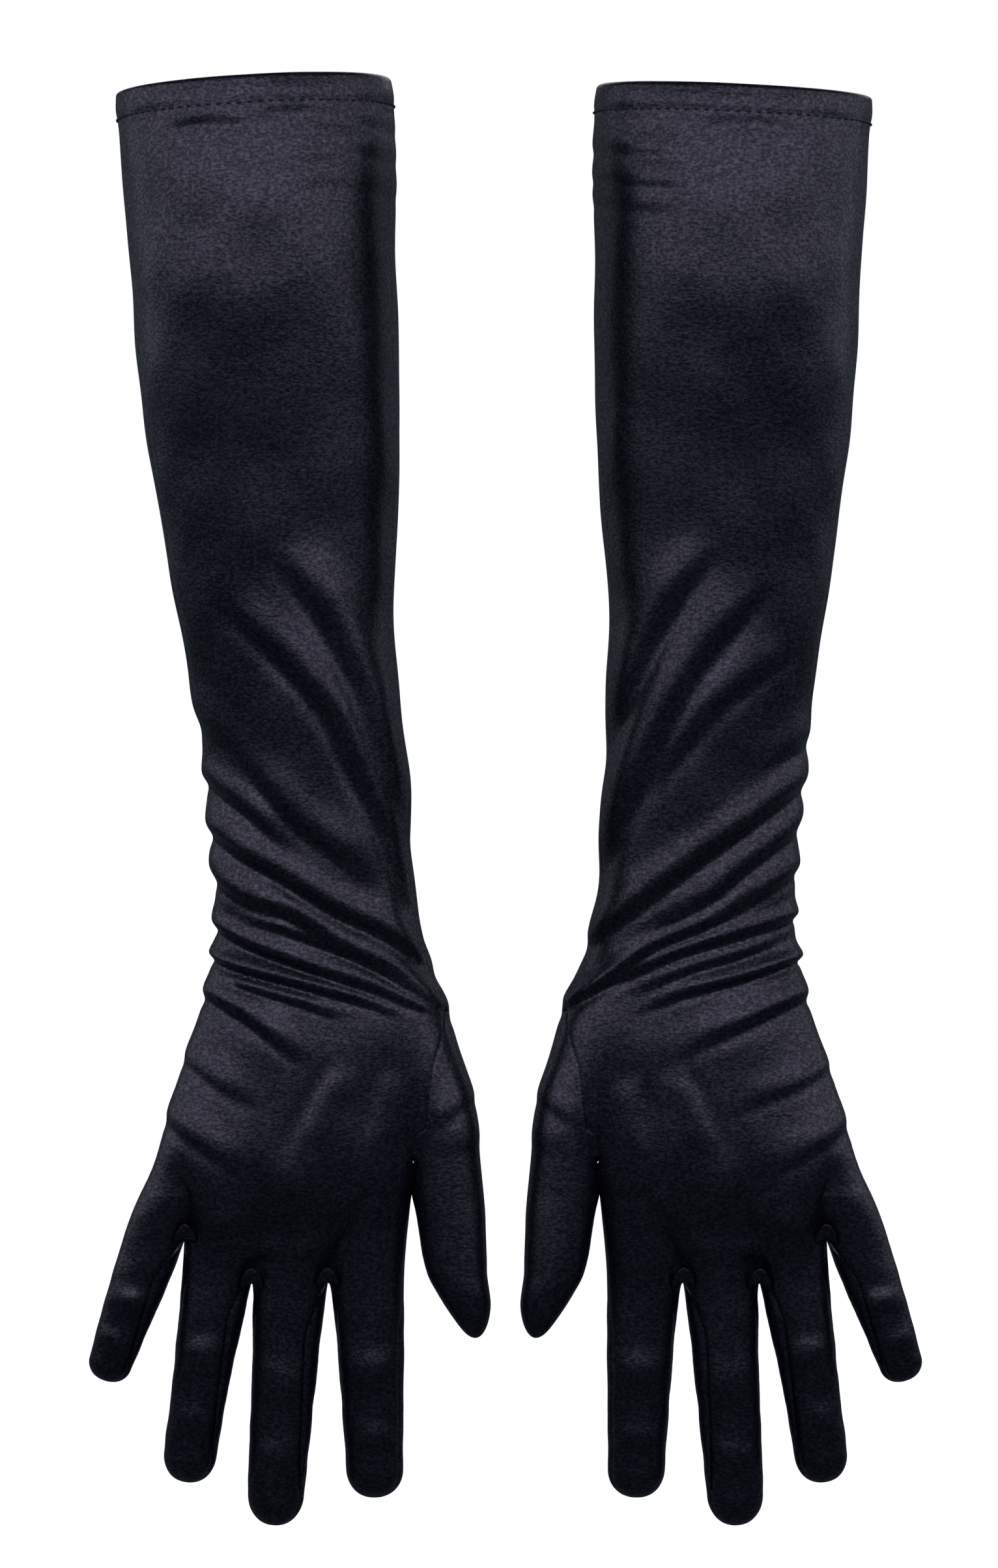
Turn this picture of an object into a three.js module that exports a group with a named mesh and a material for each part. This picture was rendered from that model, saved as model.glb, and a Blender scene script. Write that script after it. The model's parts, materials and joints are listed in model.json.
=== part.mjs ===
// A pair of elbow-length opera gloves of thin stretch satin, in the shape that they take on two hanging arms.
// The backs of the hands face -Y and the palms face +Y. Z = 0 is the level of both cuff rims, and X = 0 is
// halfway between the two cuffs. Everything is drawn once, for the right glove, and mirrored for the left one.
import * as THREE from 'three';
import { mergeVertices } from 'three/addons/utils/BufferGeometryUtils.js';

// Driving dimensions, in millimetres. A "drop" is a distance below the cuff rims.
const CLOTH = 0.8; // thickness of the satin, with the ease that is pressed into it
const SEAM = 0.35; // gap between two panels along the seam that sews them together
const HEM_DEPTH = 9; // the cuff edge is turned in by this much and topstitched
const THREAD_RADIUS = 0.25;
const WRIST_DROP = 268; // the crease of the wrist
const WRIST_BEND = 35; // degrees, each way
const FINGER_BEND = 60; // degrees, towards the palm
const PIVOT_SHARE = 0.3; // a digit bends about a line this share of its half depth on the palm side of its middle
const LEFT_LEAN = 7; // the left forearm hangs this much further out at the wrist than the right one

// Arm and hand of the right glove: drop, X of the thumb edge, X of the little-finger edge, half depth, squareness.
const ARM = [
  [0, -31.5, -115.7, 40.0, 2.0],
  [30, -30.0, -113.5, 40.0, 2.0],
  [70, -30.1, -110.7, 38.5, 2.0],
  [110, -29.2, -106.1, 36.5, 2.0],
  [150, -30.3, -99.3, 33.0, 2.0],
  [190, -30.1, -91.9, 28.5, 2.0],
  [230, -26.8, -87.3, 24.5, 2.1],
  [268, -20.8, -87.4, 21.5, 2.2],
  [302, -18.1, -96.1, 18.5, 2.3],
  [326, -22.7, -103.1, 16.5, 2.4],
  [350, -27.0, -111.5, 13.5, 2.5],
  [370, -27.6, -116.0, 10.3, 2.6],
];
// The line where the hand ends and the fingers begin, from the little finger's outer side: X and drop.
const ROOT_LINE = [[-116, 351.5], [-94.3, 358.3], [-74, 363], [-51.6, 366.9], [-28, 366.8]];

// Digits: root and tip as X and drop, half width at the root and before the rounded tip, half depth, which sides
// have a fourchette (+1 the thumb side, -1 the little-finger side), and how far the tip curls towards the palm.
const DIGITS = {
  index: { root: [-39.3, 368], tip: [-38.1, 434.8], widths: [10.6, 8.2], depth: 9.2, sides: [-1], curl: 5 },
  middle: { root: [-62.7, 367.2], tip: [-68.1, 443.4], widths: [10.2, 9.0], depth: 9.2, sides: [1, -1], curl: 6 },
  ring: { root: [-83.7, 362.6], tip: [-94.1, 429.8], widths: [9.9, 7.9], depth: 9.0, sides: [1, -1], curl: 6 },
  little: { root: [-103.6, 355.8], tip: [-118.1, 398.6], widths: [8.8, 7.0], depth: 8.0, sides: [1], curl: 4 },
};
const THUMB = { root: [-13.8, 341.4], tip: [-4.9, 384.2], widths: [10.3, 9.2], depth: 9.6, sides: [], curl: 4 };
const FOURCHETTE_WIDTH = 8;
const FOURCHETTE_END = 0.84; // share of the digit's length
const TIP_LENGTH = 0.16; // share of the digit's length that is rounded

// The thumb's set-in base: drop, X of its outer edge and half depth of the hole in the hand's side.
const THUMB_BASE = [[286, -14.5, 2], [294, -11.5, 5], [308, -7.2, 8], [326, -4.7, 9], [340.6, -3.5, 9.2]];
const GUSSET_WIDTH = 4.6;
const THUMB_SEAM = 1.2; // gap along the curved seam between the thumb base and the hand, whose facets differ

const satin = { color: 0x0c0d12, roughness: 0.42, metalness: 0 };
const thread = { color: 0x101116, roughness: 0.7, metalness: 0 };

const radians = THREE.MathUtils.degToRad;
const wristWedge = Math.tan(radians(WRIST_BEND / 2));
const digitWedge = Math.tan(radians(FINGER_BEND / 2));

// A smooth curve through the rows of a table, whose first column is the parameter.
function smooth(table) {
  const values = table.flatMap((row) => row.slice(1));
  const curve = new THREE.CubicInterpolant(table.map((row) => row[0]), values, table[0].length - 1);
  return (parameter) => [...curve.evaluate(parameter)];
}

const armAt = smooth(ARM);
const rootDropAt = smooth(ROOT_LINE);
const thumbBaseAt = smooth(THUMB_BASE);

// A point of a rounded section: angle 0 is the thumb side, a quarter turn on is the palm.
function onSection(angle, halfWidth, halfDepth, squareness) {
  const bend = (value) => Math.sign(value) * Math.abs(value) ** (2 / squareness);
  return [halfWidth * bend(Math.cos(angle)), halfDepth * bend(Math.sin(angle))];
}

// A point of the arm or hand, this far inside its outer face.
function onArm(drop, angle, depth) {
  const [thumbEdge, littleEdge, halfDepth, squareness] = armAt(drop);
  const halfWidth = (thumbEdge - littleEdge) / 2;
  const [across, y] = onSection(angle, halfWidth - depth, halfDepth - depth, squareness);
  return [(thumbEdge + littleEdge) / 2 + across, y, -drop];
}

// The part's frame for one glove: the left one is the mirror image, with its forearm leaning out.
function glovePlacer(isLeft) {
  if (!isLeft) return (point) => point;
  return ([x, y, z]) => [LEFT_LEAN * THREE.MathUtils.smoothstep(-z, 0, WRIST_DROP) - x, y, z];
}

// Panels are grids of quads, CLOTH thick. face(u, v, depth) runs round the limb with u and down it with v.
function panelGeometry(face, columns, rows, glove) {
  const positions = [];
  for (const depth of [0, CLOTH]) {
    for (let row = 0; row <= rows; row++) {
      for (let column = 0; column <= columns; column++) {
        positions.push(...glove.place(face(column / columns, row / rows, depth)));
      }
    }
  }
  const indices = [];
  const at = (column, row, inner) => (inner * (rows + 1) + row) * (columns + 1) + column;
  const quad = (a, b, c, d) => indices.push(...(glove.isLeft ? [a, c, b, a, d, c] : [a, b, c, a, c, d]));
  for (let row = 0; row < rows; row++) {
    for (let column = 0; column < columns; column++) {
      quad(at(column, row, 0), at(column, row + 1, 0), at(column + 1, row + 1, 0), at(column + 1, row, 0));
      quad(at(column, row, 1), at(column + 1, row, 1), at(column + 1, row + 1, 1), at(column, row + 1, 1));
    }
    quad(at(0, row, 0), at(0, row, 1), at(0, row + 1, 1), at(0, row + 1, 0));
    quad(at(columns, row, 0), at(columns, row + 1, 0), at(columns, row + 1, 1), at(columns, row, 1));
  }
  for (let column = 0; column < columns; column++) {
    quad(at(column, 0, 0), at(column + 1, 0, 0), at(column + 1, 0, 1), at(column, 0, 1));
    quad(at(column, rows, 0), at(column, rows, 1), at(column + 1, rows, 1), at(column + 1, rows, 0));
  }
  return new THREE.BufferGeometry()
    .setAttribute('position', new THREE.Float32BufferAttribute(positions, 3))
    .setIndex(indices);
}

function addMesh(glove, name, geometry, finish) {
  geometry.computeVertexNormals();
  const mesh = new THREE.Mesh(geometry, new THREE.MeshStandardMaterial(finish));
  mesh.name = `${glove.isLeft ? 'left' : 'right'}_${name}`;
  glove.group.add(mesh);
}

function addPanel(glove, name, columns, rows, face) {
  addMesh(glove, name, panelGeometry(face, columns, rows, glove), satin);
}

const mix = THREE.MathUtils.lerp;

// The two halves of a limb: the palm half is the first half turn and the back half is the second.
const HALVES = { palm: [0, Math.PI], back: [Math.PI, 2 * Math.PI] };

// Angle that a seam's half gap takes up on a limb of this half width.
const seamAngle = (halfWidth) => Math.min(0.3, SEAM / 2 / Math.max(halfWidth, 0.1));

// Forearm: a back and a palm panel, sewn along both sides. They end short of the wrist's bending line.
function addSleeve(glove) {
  for (const [half, [from, to]] of Object.entries(HALVES)) {
    addPanel(glove, `sleeve_${half}`, 10, 13, (u, v, depth) => {
      const gap = seamAngle(20);
      const angle = mix(from + gap, to - gap, u);
      const y = onArm(WRIST_DROP, angle, depth)[1];
      return onArm(mix(0, WRIST_DROP - SEAM - Math.abs(y) * wristWedge, v), angle, depth);
    });
  }
}

// Hem: the cuff edge turned inside, and the ring of topstitching that holds it.
function addHem(glove) {
  const inside = CLOTH + SEAM;
  for (const [half, [from, to]] of Object.entries(HALVES)) {
    addPanel(glove, `hem_facing_${half}`, 10, 1, (u, v, depth) => {
      const gap = seamAngle(20);
      return onArm(mix(SEAM, HEM_DEPTH, v), mix(from + gap, to - gap, u), inside + depth);
    });
  }
  const ring = mergeVertices(new THREE.TorusGeometry(1, THREAD_RADIUS, 4, 40).deleteAttribute('normal').deleteAttribute('uv'));
  const position = ring.getAttribute('position');
  for (let i = 0; i < position.count; i++) {
    const angle = Math.atan2(position.getY(i), position.getX(i));
    const outward = Math.hypot(position.getX(i), position.getY(i)) - 1;
    const [x, y, z] = onArm(HEM_DEPTH - 1, angle, -outward - THREAD_RADIUS - SEAM);
    position.setXYZ(i, ...glove.place([x, y, z + position.getZ(i)]));
  }
  if (glove.isLeft) ring.setIndex([...ring.index.array].reverse());
  addMesh(glove, 'hem_thread', ring, thread);
}

// Lower edge of the hand at a point of its rim, raised on the palm side so that the fingers can bend.
function handEnd(x, y) {
  const pivot = PIVOT_SHARE * DIGITS.index.depth;
  return rootDropAt(x)[0] - SEAM - Math.max(0, y - pivot) * digitWedge;
}

// Hand: a back and a palm panel, open on the thumb side where the thumb is set in.
function addHand(glove) {
  for (const [half, [from, to]] of Object.entries(HALVES)) {
    addPanel(glove, `hand_${half}`, 12, 8, (u, v, depth) => {
      const nominal = mix(from, to, u);
      const wristY = onArm(WRIST_DROP, nominal, depth)[1];
      const top = WRIST_DROP + SEAM + Math.abs(wristY) * wristWedge;
      const [rimX, rimY] = onArm(ROOT_LINE[2][1], nominal, depth);
      const drop = mix(top, handEnd(rimX, rimY), v);
      const [, , halfDepth, squareness] = armAt(drop);
      const open = thumbHole(drop) / halfDepth;
      const thumbGap = Math.max(seamAngle(20), Math.asin(open ** (squareness / 2)));
      const seam = seamAngle(20);
      const angle = half === 'palm' ? mix(thumbGap, to - seam, u) : mix(from + seam, to - thumbGap, u);
      return onArm(drop, angle, depth);
    });
  }
}

// Half depth of the hole for the thumb: none above the thumb's base, closing again just under the thumb's crotch.
function thumbHole(drop) {
  const [first, last] = [THUMB_BASE[0][0], THUMB_BASE.at(-1)[0]];
  if (drop < first - SEAM) return 0;
  const closing = 1 - THREE.MathUtils.smoothstep(drop, last + SEAM, last + 5);
  return closing * thumbBaseAt(THREE.MathUtils.clamp(drop, first, last))[1];
}

// Thumb base: wraps the ball of the thumb, from the wrist down to the crotch, and is sewn into the hand's side.
function addThumbBase(glove) {
  const pivot = PIVOT_SHARE * THUMB.depth;
  const slant = (THUMB.tip[0] - THUMB.root[0]) / (THUMB.tip[1] - THUMB.root[1]);
  addPanel(glove, 'thumb_base', 10, 6, (u, v, depth) => {
    const [first, last] = [THUMB_BASE[0][0], THUMB_BASE.at(-1)[0]];
    const angle = mix(-Math.PI / 2, Math.PI / 2, u);
    const bend = Math.max(0, THUMB.depth * Math.sin(angle) - pivot) * digitWedge;
    const slantRise = slant * THUMB.widths[0] * Math.cos(angle);
    const drop = mix(first, last - 2 * SEAM - bend - slantRise, v);
    const [outerEdge, hole] = thumbBaseAt(drop);
    const [thumbEdge, littleEdge, halfDepth, squareness] = armAt(drop);
    const halfWidth = (thumbEdge - littleEdge) / 2;
    const reach = (1 - (hole / halfDepth) ** squareness) ** (1 / squareness);
    const seamX = (thumbEdge + littleEdge) / 2 + halfWidth * reach + THUMB_SEAM;
    const across = Math.max(outerEdge - seamX, 3) - depth;
    return [seamX + across * Math.cos(angle), (hole - depth * Math.min(1, hole / 4)) * Math.sin(angle), -drop];
  });
}

// A point of a digit: along it by a share of its length, round it by an angle, and this far inside.
// The root is cut on the palm side by the plane that the bend brings against the hand.
function onDigit(digit, share, angle, depth) {
  const [rootX, rootDrop] = digit.root;
  const axis = new THREE.Vector2(digit.tip[0] - rootX, rootDrop - digit.tip[1]);
  const length = axis.length();
  axis.normalize();
  const straight = 1 - TIP_LENGTH;
  const tipShare = Math.max(0, (share - straight) / TIP_LENGTH);
  const turn = tipShare * Math.PI * 0.47;
  const narrowing = Math.cos(turn);
  const halfWidth = (mix(...digit.widths, Math.min(1, share / straight)) - depth) * narrowing;
  const halfDepth = (digit.depth * (1 - 0.12 * share) - depth) * narrowing;
  const [across, y] = onSection(angle, halfWidth, halfDepth, 2.2);
  const cut = Math.max(0, y - PIVOT_SHARE * digit.depth) * digitWedge;
  const tipReach = (length * TIP_LENGTH - depth) * Math.sin(turn);
  const along = tipShare > 0 ? length * straight + tipReach : mix(cut, length * straight, share / straight);
  const bow = digit.curl * (along / length) ** 2;
  return [rootX + axis.x * along - axis.y * across, y + bow, -rootDrop + axis.y * along + axis.x * across];
}

// Angle from a digit's side to the edge of its back and palm strips, where a fourchette lies between them.
function sideAngle(digit, side, share) {
  if (!digit.sides.includes(side)) return 0;
  const taper = THREE.MathUtils.clamp((FOURCHETTE_END + 0.04 - share) / FOURCHETTE_END, 0, 1) ** 0.6;
  return Math.asin((FOURCHETTE_WIDTH / 2 / digit.depth) * taper);
}

// Digit: a back and a palm strip, sewn edge to edge on an outer side and to a fourchette on an inner side.
function addDigit(glove, name, digit) {
  const localGap = (share) => seamAngle(digit.depth * Math.cos(Math.max(0, (share - 0.84) / 0.16) * 1.45));
  for (const [half, [from, to]] of Object.entries(HALVES)) {
    const [fromSide, toSide] = half === 'palm' ? [1, -1] : [-1, 1];
    addPanel(glove, `${name}_${half}`, 4, 9, (u, v, depth) => {
      const start = from + localGap(v) + sideAngle(digit, fromSide, v);
      const end = to - localGap(v) - sideAngle(digit, toSide, v);
      return onDigit(digit, v, mix(start, end, u), depth);
    });
  }
  for (const side of digit.sides) {
    const facing = side > 0 ? 'thumb_side' : 'little_side';
    addPanel(glove, `${name}_fourchette_${facing}`, 2, 6, (u, v, depth) => {
      const share = v * FOURCHETTE_END;
      const half = sideAngle(digit, side, share) - localGap(share);
      return onDigit(digit, share, (side > 0 ? 0 : Math.PI) + mix(-half, half, u), depth);
    });
  }
}

// Crotch gussets: small lozenges that join the fourchettes of two neighbouring fingers, back to palm.
function addGussets(glove) {
  const names = ['ring_little_gusset', 'middle_ring_gusset', 'index_middle_gusset'];
  names.forEach((name, i) => {
    const x = ROOT_LINE[i + 1][0];
    const halfLength = onArm(rootDropAt(x)[0], Math.PI / 2, CLOTH)[1] - 1.2;
    addPanel(glove, name, 2, 6, (u, v, depth) => {
      const y = mix(-halfLength, halfLength, v);
      const halfWidth = (GUSSET_WIDTH / 2) * (1 - 0.6 * Math.abs(2 * v - 1));
      const arch = 1.5 * (1 - (2 * v - 1) ** 2);
      return [x + mix(-halfWidth, halfWidth, u), y, -handEnd(x, y) + 0.6 + arch + depth];
    });
  });
}

const pair = new THREE.Group();
for (const isLeft of [false, true]) {
  const glove = { isLeft, place: glovePlacer(isLeft), group: new THREE.Group() };
  addSleeve(glove);
  addHem(glove);
  addHand(glove);
  addThumbBase(glove);
  addGussets(glove);
  addDigit(glove, 'thumb', THUMB);
  for (const [name, digit] of Object.entries(DIGITS)) addDigit(glove, name, digit);
  pair.add(glove.group);
}

export default pair;
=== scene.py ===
"""A pair of elbow-length opera gloves in thin black stretch satin, worn on two arms that aren't shown.

Each glove is cut as a back, a palm, a set-in thumb, fourchettes between the fingers and small gussets in
their crotches. Shapes are worked out for the right glove in millimetres. The left glove is its mirror image,
leaning out a little, with folds and a tilt of the cuff of its own. A "drop" is a distance below the cuff rim.
"""

import json

import bpy
import numpy as np
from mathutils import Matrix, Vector


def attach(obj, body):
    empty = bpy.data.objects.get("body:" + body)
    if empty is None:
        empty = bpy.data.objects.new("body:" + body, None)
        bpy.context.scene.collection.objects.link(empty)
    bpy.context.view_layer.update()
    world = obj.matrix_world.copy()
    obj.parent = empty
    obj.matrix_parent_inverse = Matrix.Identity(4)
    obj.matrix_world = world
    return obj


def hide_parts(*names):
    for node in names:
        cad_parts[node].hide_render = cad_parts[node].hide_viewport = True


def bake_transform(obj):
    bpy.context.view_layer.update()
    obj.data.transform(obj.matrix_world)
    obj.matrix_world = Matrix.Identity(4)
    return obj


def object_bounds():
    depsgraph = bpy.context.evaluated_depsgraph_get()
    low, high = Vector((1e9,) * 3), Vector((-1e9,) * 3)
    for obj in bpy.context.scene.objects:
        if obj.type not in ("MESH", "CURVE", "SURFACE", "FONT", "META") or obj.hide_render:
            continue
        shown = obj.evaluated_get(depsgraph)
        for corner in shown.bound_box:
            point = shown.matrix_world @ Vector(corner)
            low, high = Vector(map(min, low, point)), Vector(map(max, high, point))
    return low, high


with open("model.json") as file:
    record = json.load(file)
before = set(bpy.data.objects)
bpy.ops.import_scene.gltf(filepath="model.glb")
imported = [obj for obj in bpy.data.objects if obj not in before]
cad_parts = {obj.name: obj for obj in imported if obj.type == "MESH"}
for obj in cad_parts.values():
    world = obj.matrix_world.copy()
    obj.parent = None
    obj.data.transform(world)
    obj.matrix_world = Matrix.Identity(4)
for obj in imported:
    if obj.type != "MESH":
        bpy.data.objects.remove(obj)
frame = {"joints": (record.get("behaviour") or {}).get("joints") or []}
cad_low, cad_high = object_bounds()
bpy.ops.object.select_all(action="DESELECT")


# --- Camera -------------------------------------------------------------------------------------------------
# The lens looks straight along +Y at mid-length of the gloves, from far enough off that both cuff rims show
# their near edges as shallow arches.

camera_distance = 1.55
frame_height = 0.4816
bpy.ops.object.camera_add(
    location=(0.0015, -camera_distance, -0.2148), rotation=(np.pi / 2, 0, 0)
)
camera = bpy.context.object
camera.data.sensor_width = 36
camera.data.lens = 36 * camera_distance / frame_height
bpy.context.scene.camera = camera


# --- Studio -------------------------------------------------------------------------------------------------
# A pale floor well under the fingertips, a white surround, and an arc of soft boxes that is highest and
# brightest in front of the gloves, so that satin facing a little down stays dark. There is a weak one below,
# and one behind.

floor_level = cad_low[2] - 0.3
bpy.ops.mesh.primitive_plane_add(size=9, location=(0, 0, floor_level))
floor = bpy.context.object
floor.name = "studio_floor"
floor_paint = bpy.data.materials.new("studio_floor")
floor_paint.use_nodes = True
floor_shader = floor_paint.node_tree.nodes["Principled BSDF"]
floor_shader.inputs["Base Color"].default_value = (0.86, 0.86, 0.87, 1)
floor_shader.inputs["Roughness"].default_value = 0.8
floor_shader.inputs["Emission Color"].default_value = (1, 1, 1, 1)
floor_shader.inputs["Emission Strength"].default_value = 1.0
floor.data.materials.append(floor_paint)
floor.visible_glossy = False
floor.visible_diffuse = False

surround = bpy.data.worlds.new("studio_surround")
surround.use_nodes = True
bpy.context.scene.world = surround
sky = surround.node_tree.nodes
seen = sky["Background"]
seen.inputs["Strength"].default_value = 1.0
seen.inputs["Color"].default_value = (1, 1, 1, 1)
lighting = sky.new("ShaderNodeBackground")
lighting.inputs["Color"].default_value = (0.62, 0.78, 1.0, 1)
lighting.inputs["Strength"].default_value = 0.06
straight = sky.new("ShaderNodeLightPath")
either = sky.new("ShaderNodeMixShader")
joins = surround.node_tree.links
joins.new(straight.outputs["Is Camera Ray"], either.inputs["Fac"])
joins.new(lighting.outputs["Background"], either.inputs[1])
joins.new(seen.outputs["Background"], either.inputs[2])
joins.new(either.outputs["Shader"], sky["World Output"].inputs["Surface"])
bpy.context.scene.view_settings.view_transform = "Standard"


def add_softbox(name, place, target, size, power, colour=(1, 1, 1)):
    bpy.ops.object.light_add(type="AREA", location=place)
    box = bpy.context.object
    box.name = name
    box.data.shape = "RECTANGLE"
    box.data.size, box.data.size_y = size
    box.data.energy = power
    box.data.color = colour
    box.rotation_euler = (Vector(target) - box.location).to_track_quat("-Z", "Y").to_euler()


arc_end = 140  # degrees from the front to each end
arc_radius = 2.0
for turn in range(-arc_end, arc_end + 1, 28):
    around, outer = np.radians(turn), (turn / arc_end) ** 2
    level = 0.57 - 0.35 * outer
    place = (arc_radius * np.sin(around), -arc_radius * np.cos(around), level)
    power = (4.8 if turn <= 0 else 4.5) * (0.04 + (1 - outer) ** 1.2)
    add_softbox(f"softbox_at_{turn}", place, (0, 0, level - 0.3), (1.0, 1.0), power, (0.80, 0.78, 1))
add_softbox("low_fill", (0, -1.9, -1.3), (0, 0, -0.2), (2.4, 0.9), 0.22, (0.7, 0.85, 1))
add_softbox("back_softbox", (0.2, 1.6, 0.9), (0, 0, -0.1), (2.0, 1.0), 4, (1, 0.98, 1))


# --- Shape of the gloved arm --------------------------------------------------------------------------------
# The satin is stretched over a forearm, a wrist and a hand, so those give it its shape. Across a section,
# angle 0 is the thumb's side, a quarter turn is the palm, and three quarters is the back.


def curve_through(rows):
    """A smooth curve through the rows, whose first column is the parameter."""
    rows = np.array(rows, float)
    stations, values = rows[:, 0], rows[:, 1:]
    slopes = np.gradient(values, stations, axis=0)

    def at(where):
        where = np.clip(np.asarray(where, float), stations[0], stations[-1])
        i = np.clip(np.searchsorted(stations, where) - 1, 0, len(stations) - 2)
        step = (stations[i + 1] - stations[i])[..., None]
        t = (where - stations[i])[..., None] / step
        curve = (
            (2 * t**3 - 3 * t**2 + 1) * values[i]
            + (t**3 - 2 * t**2 + t) * step * slopes[i]
            + (3 * t**2 - 2 * t**3) * values[i + 1]
            + (t**3 - t**2) * step * slopes[i + 1]
        )
        return np.moveaxis(curve, -1, 0)

    return at


def ease(value, low, high):
    """0 below low, 1 above high, and a smooth step between them."""
    t = np.clip((np.asarray(value, float) - low) / (high - low), 0, 1)
    return t * t * (3 - 2 * t)


# Drop, X of the thumb's edge, X of the little finger's edge, half depth, how far its middle is set back, and
# squareness. At the knuckles the back of the hand stands about 5 mm in front of the CAD's.
arm_shape = curve_through(
    [
        (0, -31.5, -115.8, 37.4, 0.0, 2.0),
        (22, -30.4, -114.4, 39.2, 0.0, 2.0),
        (40, -30.2, -112.8, 40.5, 0.0, 2.0),
        (60, -29.9, -111.3, 40.5, 0.0, 2.0),
        (88, -29.1, -109.1, 37.7, 0.0, 2.0),
        (118, -28.7, -104.7, 33.4, 0.0, 2.0),
        (150, -30.3, -99.3, 30.1, 0.0, 2.0),
        (182, -30.3, -93.1, 27.7, 0.0, 2.0),
        (214, -28.3, -88.3, 25.3, 0.0, 2.0),
        (246, -24.7, -85.9, 22.6, 0.4, 2.1),
        (264, -21.5, -86.2, 20.6, 0.8, 2.1),
        (278, -19.2, -88.3, 19.2, 0.4, 2.2),
        (296, -18.4, -93.5, 18.7, -0.8, 2.2),
        (312, -20.4, -98.6, 18.0, -1.8, 2.3),
        (324, -22.4, -102.2, 17.2, -2.6, 2.4),
        (333, -24.0, -104.8, 16.2, -3.0, 2.5),
        (343, -26.2, -108.0, 14.6, -3.0, 2.5),
        (354, -27.9, -112.0, 12.2, -2.4, 2.6),
        (368, -28.4, -117.5, 9.4, -1.6, 2.6),
    ]
)
# The ball of the thumb: drop, X of its middle, half width, half depth, how far it's set towards the palm, and
# the softness of the join.
thumb_ball = curve_through(
    [
        (262, -37.0, 14.0, 12.5, 2.5, 1.0),
        (276, -32.0, 14.2, 13.2, 2.5, 7.0),
        (286, -27.6, 13.6, 13.2, 1.8, 9.0),
        (302, -21.4, 12.5, 12.8, 0.0, 9.0),
        (316, -17.4, 11.9, 11.8, -1.7, 7.0),
        (330, -15.3, 11.1, 10.8, -2.9, 2.5),
        (341, -14.2, 11.1, 10.2, -3.6, 0.5),
    ]
)
thumb_ball_drop, thumb_parts_drop, thumb_crotch_drop = 262.0, 325.0, 341.0


def outside_form(drop, x, y):
    """How far a point is outside the arm and hand, with the ball of the thumb joined on softly."""
    thumb_edge, little_edge, deep, set_back, square = arm_shape(drop)
    wide, middle = (thumb_edge - little_edge) / 2, (thumb_edge + little_edge) / 2
    reach = (np.abs((x - middle) / wide) ** square + np.abs((y - set_back) / deep) ** square) ** (1 / square)
    hand = np.hypot(x - middle, y - set_back) * (1 - 1 / np.maximum(reach, 1e-6))
    ball_x, ball_wide, ball_deep, ball_y, softness = thumb_ball(drop)
    reach = np.hypot((x - ball_x) / ball_wide, (y - ball_y) / ball_deep)
    ball = np.hypot(x - ball_x, y - ball_y) * (1 - 1 / np.maximum(reach, 1e-6))
    ball = np.where((drop > thumb_ball_drop) & (drop <= thumb_crotch_drop), ball, 1e3)
    share = np.clip(0.5 + 0.5 * (ball - hand) / softness, 0, 1)
    return ball + (hand - ball) * share - softness * share * (1 - share)


halvings = 26


def solve_outwards(outside, low, high):
    """Halves the interval until outside() changes sign in it: the surface's place along a ray."""
    for _ in range(halvings):
        half = (low + high) / 2
        inside = outside(half) < 0
        low, high = np.where(inside, half, low), np.where(inside, high, half)
    return (low + high) / 2


# The edges of the back and palm: side seams a little to the front of the arm's sides, which run out to the
# sides at the hand. On the thumb's side they part at the wrist and meet again in the crotch of the thumb.
side_seam_turn = curve_through(
    [(0, 0.28), (150, 0.26), (230, 0.2), (284, 0.16), (310, 0.12), (340, 0.05), (370, 0.0)]
)
thumb_seam_x = curve_through(
    [(270, -15.0), (284, -15.6), (300, -18.2), (320, -21.6), (334, -24.2), (341, -25.5)]
)
thumb_point_drop = 284.0
seam_closes_drop = 329.0
seam_drops = np.linspace(0, 372, 745)


def arm_surface(drop, angle):
    """The point of the arm or hand where a ray from the middle of the section leaves the form.

    Near the thumb's crotch it goes no further than the seam, so that the hand gets its side there.
    """
    drop, angle = np.broadcast_arrays(np.asarray(drop, float), angle)
    thumb_edge, little_edge, deep, set_back, _ = arm_shape(drop)
    wide, middle = (thumb_edge - little_edge) / 2, (thumb_edge + little_edge) / 2
    across, out = wide * np.cos(angle), deep * np.sin(angle)
    seam_limit = thumb_seam_x(drop)[0] + 0.2 + 4 * (1 - ease(drop, 288, 322)) - middle
    beside_thumb = (drop > thumb_point_drop) & (drop <= thumb_crotch_drop) & (across > 1)
    reach = np.where(beside_thumb, np.minimum(seam_limit / np.maximum(across, 1), 2.4), 2.4)
    far = solve_outwards(
        lambda r: outside_form(drop, middle + r * across, set_back + r * out), np.full(drop.shape, 0.3), reach
    )
    return np.stack([middle + far * across, set_back + far * out, -drop], -1)


def thumb_side_turns(towards_palm):
    """Angle of the back's or the palm's edge on the thumb's side, for each seam drop."""
    thumb_edge, little_edge, deep, set_back, _ = arm_shape(seam_drops)
    wide, middle = (thumb_edge - little_edge) / 2, (thumb_edge + little_edge) / 2
    seam_x = thumb_seam_x(seam_drops)[0]
    height = solve_outwards(
        lambda y: outside_form(seam_drops, seam_x, set_back + towards_palm * y),
        np.zeros_like(seam_x),
        np.full(seam_x.shape, 60.0),
    )
    apart = towards_palm * np.arctan2(height / deep, (seam_x - middle) / wide)
    parted = np.clip((seam_drops - thumb_point_drop) / 18, 0, 1)
    closed = np.clip((seam_drops - seam_closes_drop) / (thumb_crotch_drop - seam_closes_drop), 0, 1)
    opened = np.sqrt(1 - (1 - parted) ** 2) * np.sqrt(1 - closed**2)
    together = -side_seam_turn(seam_drops)[0]
    return together + (apart - together) * opened


back_edge_turns, palm_edge_turns = thumb_side_turns(-1), thumb_side_turns(1)


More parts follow.
